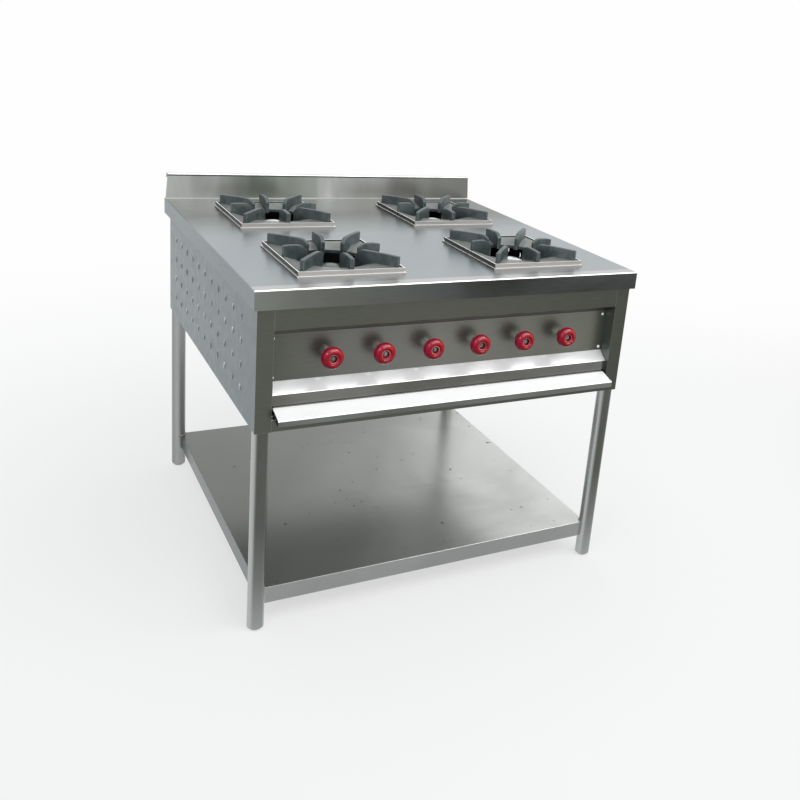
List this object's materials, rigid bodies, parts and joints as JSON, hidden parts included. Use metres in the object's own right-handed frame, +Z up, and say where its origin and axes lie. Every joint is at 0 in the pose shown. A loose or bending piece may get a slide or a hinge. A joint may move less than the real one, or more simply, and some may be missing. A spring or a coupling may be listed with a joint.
{
  "type": "open gas range",
  "caption": "Free-standing open gas range in folded stainless sheet, with cast-iron pan supports, red valve knobs, a drip tray and an undershelf on pipe legs.",
  "frame": {"origin": "on the floor, under the middle of the box round the range", "axes": "+Z up, front with the knobs towards -Y, +X to the right as seen from the front"},
  "size_m": [1.01, 1.016, 0.925],
  "materials": {
    "stainless_sheet": "satin, brushed across the sheet",
    "polished_pipe": "polished along the pipe",
    "frame_steel": "satin",
    "pipe_steel": "plain grey steel",
    "cast_iron": "as cast, dull, worn lighter along the edges",
    "machined_iron": "machined flat",
    "brass": "turned",
    "red_bakelite": "moulded, glossy",
    "bright_chrome": "polished"
  },
  "bodies": {
    "range_body": {"burner_front_left": "cast_iron", "burner_front_right": "cast_iron", "burner_rails": "pipe_steel", "burner_rear_left": "cast_iron", "burner_rear_right": "cast_iron", "burner_tubes": "pipe_steel", "control_ledge": "stainless_sheet", "control_panel": "stainless_sheet", "front_bottom_rail": "stainless_sheet", "front_left_post": "stainless_sheet", "front_right_post": "stainless_sheet", "front_top_rail": "stainless_sheet", "gas_manifold": "pipe_steel", "gland_nuts": "bright_chrome", "hob_top": "stainless_sheet", "injectors": "brass", "leg_feet": "polished_pipe", "leg_front_left": "polished_pipe", "leg_front_right": "polished_pipe", "leg_plates": "polished_pipe", "leg_rear_left": "polished_pipe", "leg_rear_right": "polished_pipe", "manifold_brackets": "pipe_steel", "pan_frame_front_left": "frame_steel", "pan_frame_front_right": "frame_steel", "pan_frame_rear_left": "frame_steel", "pan_frame_rear_right": "frame_steel", "panel_screws": "bright_chrome", "pilot_burners": "brass", "pilot_tubes": "pipe_steel", "rear_panel": "stainless_sheet", "shelf_stiffener": "stainless_sheet", "side_panel_left": "stainless_sheet", "side_panel_right": "stainless_sheet", "splashback": "stainless_sheet", "tray_runners": "pipe_steel", "undershelf": "stainless_sheet", "valve_bodies": "brass"},
    "pan_support_front_left": {"pan_support_front_left": "cast_iron"},
    "burner_head_front_left": {"burner_head_front_left": "machined_iron"},
    "pan_support_front_right": {"pan_support_front_right": "cast_iron"},
    "burner_head_front_right": {"burner_head_front_right": "machined_iron"},
    "pan_support_rear_left": {"pan_support_rear_left": "cast_iron"},
    "burner_head_rear_left": {"burner_head_rear_left": "machined_iron"},
    "pan_support_rear_right": {"pan_support_rear_right": "cast_iron"},
    "burner_head_rear_right": {"burner_head_rear_right": "machined_iron"},
    "drip_tray": {"drip_tray": "stainless_sheet"},
    "knob_1": {"knob_1": "red_bakelite", "spindle_1": "bright_chrome"},
    "knob_2": {"knob_2": "red_bakelite", "spindle_2": "bright_chrome"},
    "knob_3": {"knob_3": "red_bakelite", "spindle_3": "bright_chrome"},
    "knob_4": {"knob_4": "red_bakelite", "spindle_4": "bright_chrome"},
    "knob_5": {"knob_5": "red_bakelite", "spindle_5": "bright_chrome"},
    "knob_6": {"knob_6": "red_bakelite", "spindle_6": "bright_chrome"}
  },
  "joints": [
    {"name": "lift_pan_support_front_left", "type": "slide", "parent": "range_body", "child": "pan_support_front_left", "axis": [0, 0, 1], "range_m": [0, 0.12]},
    {"name": "lift_burner_head_front_left", "type": "slide", "parent": "range_body", "child": "burner_head_front_left", "axis": [0, 0, 1], "range_m": [0, 0.1]},
    {"name": "lift_pan_support_front_right", "type": "slide", "parent": "range_body", "child": "pan_support_front_right", "axis": [0, 0, 1], "range_m": [0, 0.12]},
    {"name": "lift_burner_head_front_right", "type": "slide", "parent": "range_body", "child": "burner_head_front_right", "axis": [0, 0, 1], "range_m": [0, 0.1]},
    {"name": "lift_pan_support_rear_left", "type": "slide", "parent": "range_body", "child": "pan_support_rear_left", "axis": [0, 0, 1], "range_m": [0, 0.12]},
    {"name": "lift_burner_head_rear_left", "type": "slide", "parent": "range_body", "child": "burner_head_rear_left", "axis": [0, 0, 1], "range_m": [0, 0.1]},
    {"name": "lift_pan_support_rear_right", "type": "slide", "parent": "range_body", "child": "pan_support_rear_right", "axis": [0, 0, 1], "range_m": [0, 0.12]},
    {"name": "lift_burner_head_rear_right", "type": "slide", "parent": "range_body", "child": "burner_head_rear_right", "axis": [0, 0, 1], "range_m": [0, 0.1]},
    {"name": "slide_drip_tray", "type": "slide", "parent": "range_body", "child": "drip_tray", "axis": [0, -1, 0], "range_m": [0, 0.75]},
    {"name": "turn_knob_1", "type": "hinge", "parent": "range_body", "child": "knob_1", "pos_m": [-0.323, -0.433, 0.681], "axis": [0, -1, 0], "range_deg": [0, 540]},
    {"name": "turn_knob_2", "type": "hinge", "parent": "range_body", "child": "knob_2", "pos_m": [-0.1964, -0.433, 0.681], "axis": [0, -1, 0], "range_deg": [0, 540]},
    {"name": "turn_knob_3", "type": "hinge", "parent": "range_body", "child": "knob_3", "pos_m": [-0.0698, -0.433, 0.681], "axis": [0, -1, 0], "range_deg": [0, 540]},
    {"name": "turn_knob_4", "type": "hinge", "parent": "range_body", "child": "knob_4", "pos_m": [0.0568, -0.433, 0.681], "axis": [0, -1, 0], "range_deg": [0, 540]},
    {"name": "turn_knob_5", "type": "hinge", "parent": "range_body", "child": "knob_5", "pos_m": [0.1834, -0.433, 0.681], "axis": [0, -1, 0], "range_deg": [0, 540]},
    {"name": "turn_knob_6", "type": "hinge", "parent": "range_body", "child": "knob_6", "pos_m": [0.31, -0.433, 0.681], "axis": [0, -1, 0], "range_deg": [0, 540]}
  ]
}
